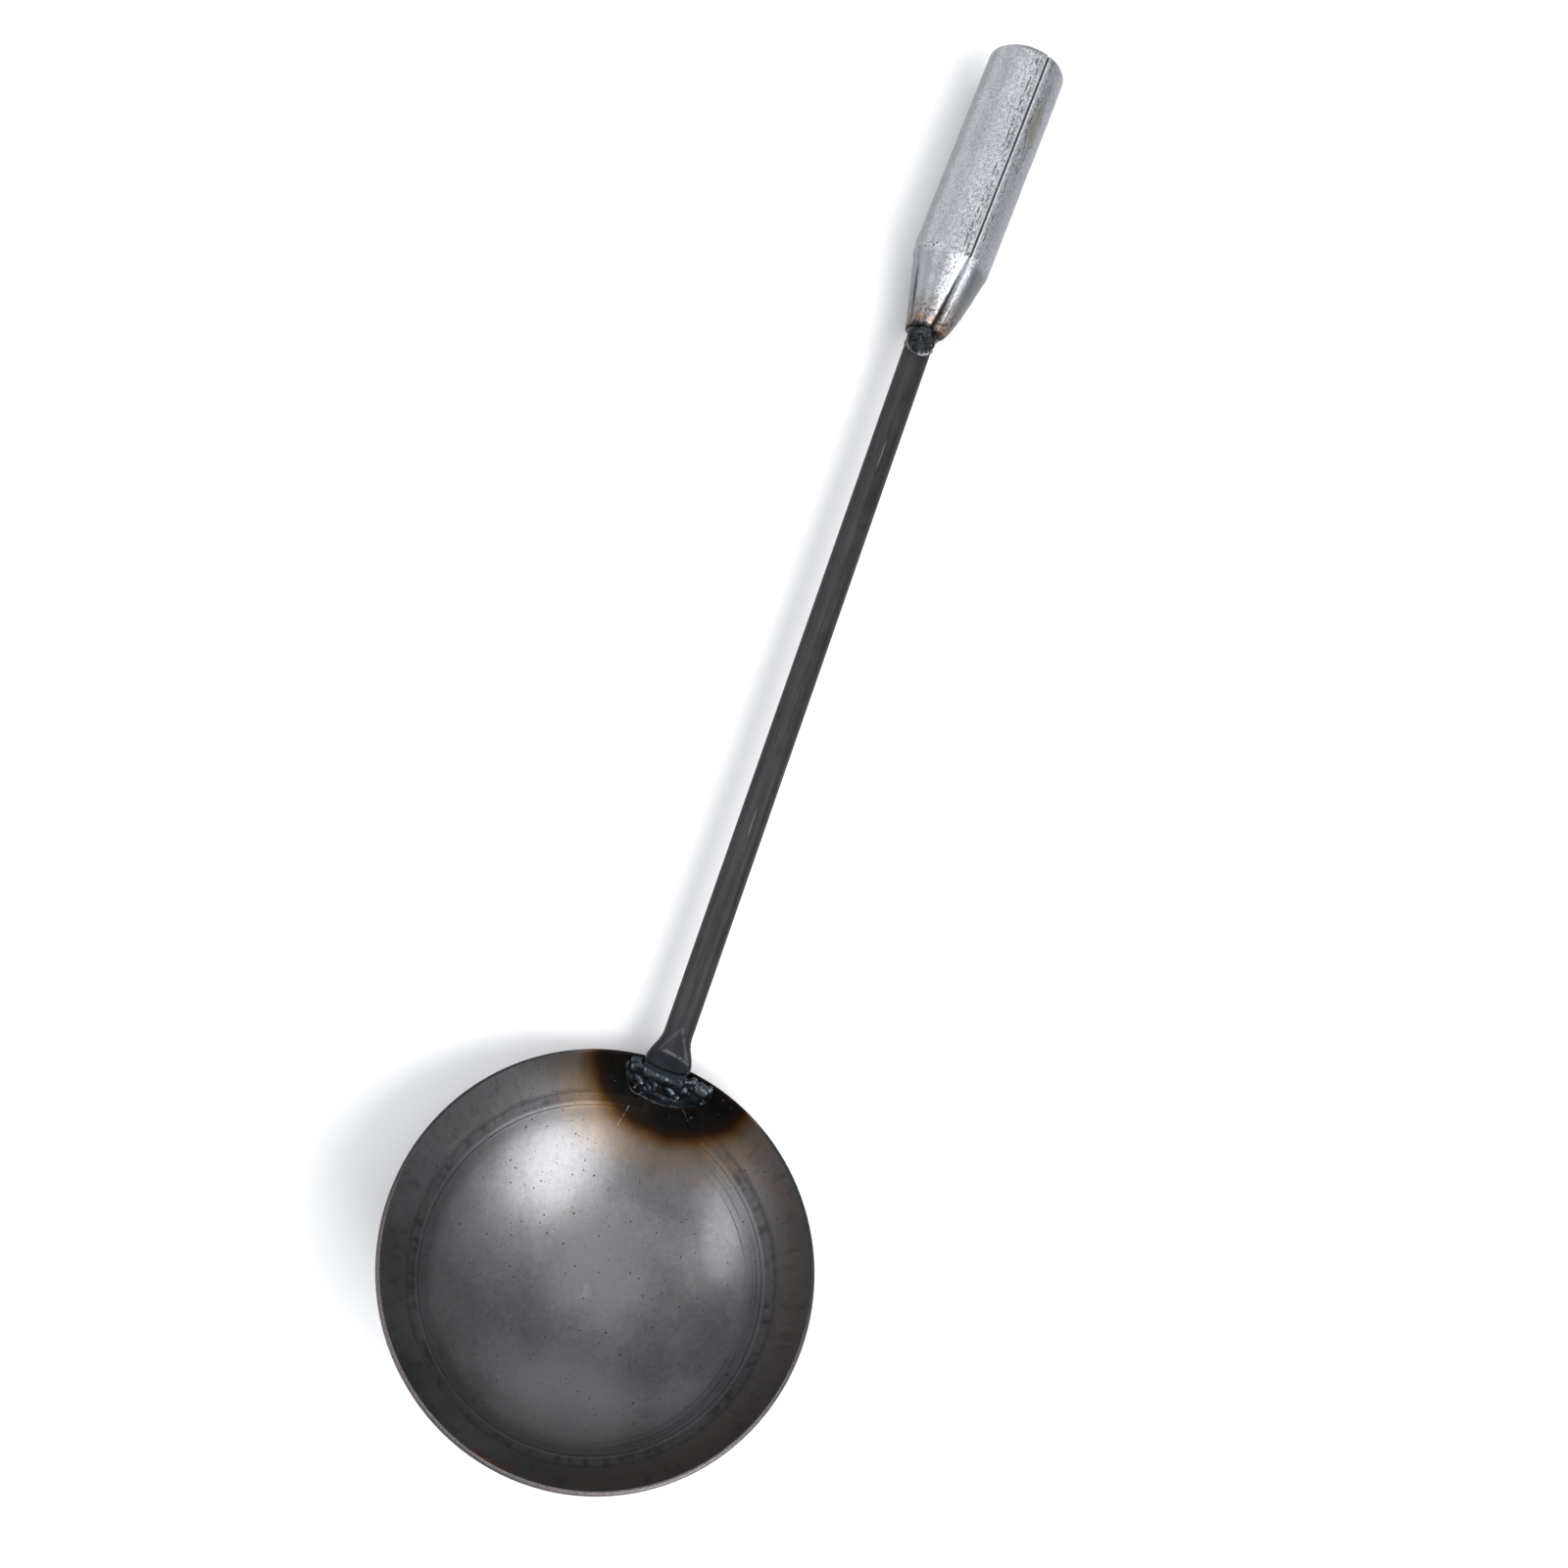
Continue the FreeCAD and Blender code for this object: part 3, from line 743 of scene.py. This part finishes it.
def bowl_weld_ropes():
    """Ropes of weld round the forged end, as balls.

    Each row is a radius, the height of its top over the wall, and places below level and around."""
    balls = []
    for radius, height, places in (
        (3.4, 1.3, ((31.2, 9.4), (34.0, 7.6), (36.2, 4.0), (36.9, 0.0), (36.9, -4.0), (35.6, -8.0),
                    (33.0, -12.4))),
        (3.4, 2.2, ((31.2, 7.0), (33.0, 4.4), (34.0, 0.0), (34.0, -4.0), (32.8, -8.0), (31.0, -12.0))),
        (2.0, 2.9, ((30.1, 8.6),)),
        (1.3, 1.8, ((28.6, 9.6), (28.6, 7.8))),
        (1.5, 2.8, ((29.4, 7.4), (30.6, 6.4))),
        (1.7, 3.3, ((30.9, 5.6), (31.4, 2.0), (31.4, -2.0), (31.0, -6.2))),
        (2.6, 4.5, ((29.7, 4.4), (29.9, 1.5), (29.9, -1.5), (29.7, -5.2))),
        (1.5, 2.4, ((33.2, 7.0), (34.4, 5.6))),
        (1.0, 3.3, ((31.6, 3.6), (32.2, 2.2), (33.4, 1.2), (34.6, 1.0))),
        (0.7, 2.4, ((34.4, 3.4), (36.0, 2.0))),
        (0.4, 3.7, ((30.9, 0.6), (31.0, -1.0), (30.5, -2.6))),
        (1.4, 3.0, ((33.2, -2.8), (34.2, -4.4))),
        (2.0, 3.1, ((32.0, -6.0), (31.8, -7.6))),
        (1.3, 3.1, ((28.6, -8.4), (28.0, -9.2))),
        (1.3, 2.5, ((30.2, -8.6), (30.0, -10.0))),
        (2.4, 3.5, ((29.4, -11.8), (29.6, -13.2))),
        (1.0, 1.6, ((28.0, -14.6), (29.8, -15.4), (31.6, -14.6))),
        (0.34, 0.36, ((30.4, 11.4), (33.3, 10.8), (36.0, 9.4), (38.1, 7.6), (38.9, 4.1), (39.5, 0.1),
                      (39.5, -3.5), (38.3, -8.2), (35.6, -13.0), (32.9, -15.5), (29.4, -15.9))),
    ):
        points = [on_ball(inner_r + radius - height, *place) for place in places]
        balls += rope(points, radius)
    return balls


def make_bowl_weld(material):
    """Pool of weld metal round the forged end, with ropy beads in it and a thin edge."""
    balls = bowl_weld_ropes()
    draw = random.Random(5)
    for _ in range(16):
        radius = draw.uniform(0.4, 0.8)
        below = draw.uniform(31.5, 38.8)
        around = draw.uniform(-14.5, 9.5)
        balls.append((on_ball(inner_r - draw.uniform(1.2, 2.2), below, around), radius))
    mesh = melt("bowl_weld_bead", balls, 14)
    ripple(mesh, ((0.4, 0.25), (1.1, 0.06)))
    ball_middle = Vector((0, 0, ball_height))
    for vertex in mesh.vertices:
        reach = vertex.co - ball_middle
        vertex.co = ball_middle + reach * min(1.0, (inner_r + weld_sink) / reach.length)
    piece = add_piece("bowl_weld_bead", mesh, bowl_frame, material)
    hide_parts("bowl_weld")


def wavy_ring(ring_r, run, wave):
    """Points of a ring round the bar that rises and falls three times."""
    turns = [math.radians(angle) for angle in range(0, 361, 20)]
    return [from_axis(ring_r, turn, run + wave * math.cos(3 * turn)) for turn in turns]


def on_puddle(height, right, up):
    """Point by its height over the bar's middle and its place from the puddle's middle."""
    return Vector((height, right, puddle_middle + up))


def make_grip_weld(material):
    """Collar of weld round the top of the bar, with a round puddle on its upper side."""
    balls = rope(wavy_ring(rod_r - 0.5, rod_length - 1.3, 0.6), 1.5)
    balls += rope(wavy_ring(rod_r - 0.9, puddle_middle, 0.4), 1.3)
    for ring_r, count in ((0.0, 1), (1.6, 6), (3.0, 12)):
        for step in range(count):
            turn = 2 * math.pi * step / count
            balls.append((on_puddle(3.6, ring_r * math.sin(turn), 1.1 * ring_r * math.cos(turn)), 1.7))
    balls.append((on_puddle(4.6, -0.9, 0.8), 1.2))
    rim_turns = [math.radians(angle) for angle in range(130, 341, 15)]
    rim = [on_puddle(4.2, puddle_r * math.sin(turn), puddle_r * math.cos(turn)) for turn in rim_turns]
    balls += rope(rim, 0.6)
    mesh = melt("grip_weld_bead", balls, 9)
    ripple(mesh, ((0.3, 0.25), (1.1, 0.03)))
    piece = add_piece("grip_weld_bead", mesh, rod_frame, material)
    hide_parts("grip_weld")


def fold_angles():
    """Angles round the tube, closer together at each fold, in degrees from its upper side."""
    offsets = (0.7, 1.5, 2.4, 3.6, 5.0, 7.0, 9.5, 13.0, 17.0, 22.0, 28.0, 34.0, 40.0)
    angles = []
    for fold in range(pleats):
        middle = seam_angle + fold * lobe_angle
        angles += [middle - offset for offset in reversed(offsets)] + [middle]
        angles += [middle + offset for offset in offsets] + [middle + lobe_angle / 2]
    return angles


def round_reach(high, angle, shoulder):
    """Radius above the die's edge: it narrows below the shoulder and has a groove at the seam."""
    off_seam = abs((angle - seam_angle + 180) % 360 - 180)
    groove = groove_depth * max(0.0, 1 - off_seam / groove_angle)
    return min(tube_r, tube_r - shoulder_fall * (shoulder - high)) - groove


def pleated_reach(share, angle, die_r):
    """Radius in the crimp, at a share of the way from the tip to the die's edge."""
    past_fold = (angle - seam_angle + lobe_angle / 2) % lobe_angle - lobe_angle / 2
    fullness = 0.8 - 0.25 * math.sin(math.radians(angle))
    outside = tip_r + (die_r - shoulder_step - tip_r) * share ** fullness
    fold = 1 - 0.95 * share ** 1.5
    mouth = math.degrees((0.5 + 0.5 * fold) / outside)
    rounding = 0.42 * (1 - abs(past_fold) / (lobe_angle / 2)) ** 2
    gap = 0.58 * max(0.0, 1 - abs(past_fold) / mouth) ** 0.7
    lip = 0.14 * max(0.0, 1 - abs(past_fold - 1.6 * mouth) / mouth) * min(1.0, 4 * (1 - share))
    return outside - pleat_depth * fold * (rounding + gap - lip)


def tube_point(share, run, angle, sink):
    """Point of the tube: share of the crimp from the tip to the die's edge, then of the run above it."""
    turn = math.radians(angle)
    shoulder = crimp_length - shoulder_lean * math.sin(turn)
    if run > 0:
        high = die_edge + run * (tube_length - die_edge)
        reach = round_reach(high, angle, shoulder)
    else:
        high = share * (die_edge + tip_reach) - tip_reach
        reach = pleated_reach(share, angle, tube_r - shoulder_fall * (shoulder - die_edge))
    place = from_axis(reach, turn, high)
    dent = 0.16 * abs(noise.noise(place * 0.12)) + 0.05 * abs(noise.noise(place * 0.5))
    return from_axis(min(reach, tube_r) - dent - sink, turn, high)


def tube_path():
    """Stops from the tip up the outside and down the bore, as share, run and depth under the skin."""
    shares = [step / 44 for step in range(44)] + [0.985, 1.0]
    runs = [0.003, 0.01, 0.02, 0.03, 0.04, 0.05, 0.06, 0.075]
    runs += [step / 40 for step in range(4, 40)] + [0.997, 1.0]
    path = [(share, 0.0, 0.0) for share in shares]
    path += [(1.0, run, 0.0 if run < 1.0 else open_bevel) for run in runs]
    path += [(1.0, run, tube_wall) for run in reversed(runs)]
    path += [(share, 0.0, tube_wall) for share in reversed(shares) if share > bore_end]
    return path


def make_grip_tube(material):
    """Thin tube with a butted seam, crimped in pleats to its tip below a shoulder that leans."""
    angles = fold_angles()
    shell = bmesh.new()
    rings = [[shell.verts.new(tube_point(share, run, angle, sink)) for angle in angles]
             for share, run, sink in tube_path()]
    for ring, following in zip(rings, rings[1:]):
        for step in range(len(angles)):
            after = (step + 1) % len(angles)
            shell.faces.new((ring[step], ring[after], following[after], following[step]))
    for ring, height in ((rings[0], -tip_reach), (rings[-1], bore_end * die_edge)):
        middle = shell.verts.new((0.0, 0.0, height))
        for step in range(len(angles)):
            shell.faces.new((ring[step], ring[(step + 1) % len(angles)], middle))
    bmesh.ops.recalc_face_normals(shell, faces=shell.faces)
    mesh = mesh_from(shell, "grip_tube_sheet")
    piece = add_piece("grip_tube_sheet", mesh, tube_frame, material)
    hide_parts("grip_tube")


def make_spatter(material):
    """Small beads of metal that the welding threw on the sheet, and a row below the hammered flat."""
    drops = bmesh.new()
    for radius, below, around in (
        (0.34, 28.9, -19.3), (0.3, 29.0, -22.4), (0.3, 41.4, -7.4), (0.25, 39.7, -13.6),
        (0.24, 27.8, -28.9), (0.32, 39.6, 4.3), (0.24, 36.0, 13.5), (0.22, 41.8, 1.5),
        (0.22, 33.0, -20.6), (0.2, 38.0, 11.2),
    ):
        add_ball(drops, on_ball(inner_r - 0.1, below, around), radius)
    onto_bowl = bowl_frame.inverted() @ rod_frame
    for radius, right, run in (
        (0.34, -5.9, 0.6), (0.26, -3.6, 2.6), (0.3, -2.6, 2.5), (0.24, -1.4, 2.3),
        (0.3, 1.4, 2.2), (0.24, 3.0, 1.8), (0.34, 5.6, 0.9), (0.28, 6.2, -0.4),
    ):
        add_ball(drops, onto_bowl @ Vector((facet_lip - 0.1, right, run)), radius)
    mesh = mesh_from(drops, "weld_spatter")
    add_piece("weld_spatter", mesh, bowl_frame, material)


def dress_frame():
    """The solids whose shape is right keep it and get their finish."""
    for name, material in (("bowl", paint_bowl()), ("rod", paint_bar())):
        give_material(frame["nodes"][name], material)


def make_floor():
    """Square floor under the ladle."""
    mesh = bpy.data.meshes.new("floor")
    corners = [(side * floor_half, end * floor_half, 0)
               for side, end in ((-1, -1), (1, -1), (1, 1), (-1, 1))]
    mesh.from_pydata(corners, [], [(0, 1, 2, 3)])
    floor = bpy.data.objects.new("floor", mesh)
    bpy.context.scene.collection.objects.link(floor)
    give_material(floor, paint_floor())


def make_softbox(name, direction, distance, sizes, power):
    """Soft box, with its width level, that faces the middle of the ladle from a direction."""
    data = bpy.data.lights.new(name, "AREA")
    data.shape = "RECTANGLE"
    data.size, data.size_y = sizes
    data.energy = power
    light = bpy.data.objects.new(name, data)
    light.location = Vector(direction).normalized() * distance
    light.rotation_mode = "QUATERNION"
    light.rotation_quaternion = Vector(direction).to_track_quat("Z", "Y")
    bpy.context.scene.collection.objects.link(light)


def make_studio():
    """Two soft boxes at the sides, a weak one overhead and a pale room."""
    make_softbox("right_softbox", (-0.22, -0.56, 0.8), 1.2, (0.85, 0.7), 14.0)
    make_softbox("left_softbox", (-0.2, 0.75, 0.59), 1.2, (0.9, 0.35), 4.5)
    make_softbox("top_softbox", (0.5, 0.0, 1.0), 1.4, (1.2, 1.2), 7.0)
    world = bpy.data.worlds.new("room")
    world.use_nodes = True
    world.node_tree.nodes["Background"].inputs["Color"].default_value = (0.9, 0.93, 1.0, 1.0)
    world.node_tree.nodes["Background"].inputs["Strength"].default_value = 0.5
    bpy.context.scene.world = world
    bpy.context.scene.view_settings.view_transform = "Standard"


def make_camera():
    """Camera at the photograph's place, with the photograph's roll."""
    data = bpy.data.cameras.new("camera")
    data.lens = camera_lens
    data.sensor_width = camera_sensor
    data.clip_start = 0.01
    camera = bpy.data.objects.new("camera", data)
    back = camera_back.normalized()
    right = camera_up.cross(back).normalized()
    turned = Matrix((right, back.cross(right), back)).transposed()
    camera.matrix_world = Matrix.Translation(camera_place) @ turned.to_4x4()
    bpy.context.scene.collection.objects.link(camera)
    bpy.context.scene.camera = camera


dress_frame()
make_grip_tube(paint_tube())
weld_finish = paint_weld("weld_metal_finish", (0.024, 0.03, 0.037), (0.07, 0.086, 0.102))
make_bowl_weld(weld_finish)
# The grip weld gets a darker copy of the weld finish, as painted shade, to tone down its upper side under
# the lamps.
make_grip_weld(paint_weld("grip_weld_shaded_finish", (0.012, 0.014, 0.016), (0.034, 0.038, 0.043)))
make_spatter(weld_finish)
make_floor()
make_studio()
make_camera()
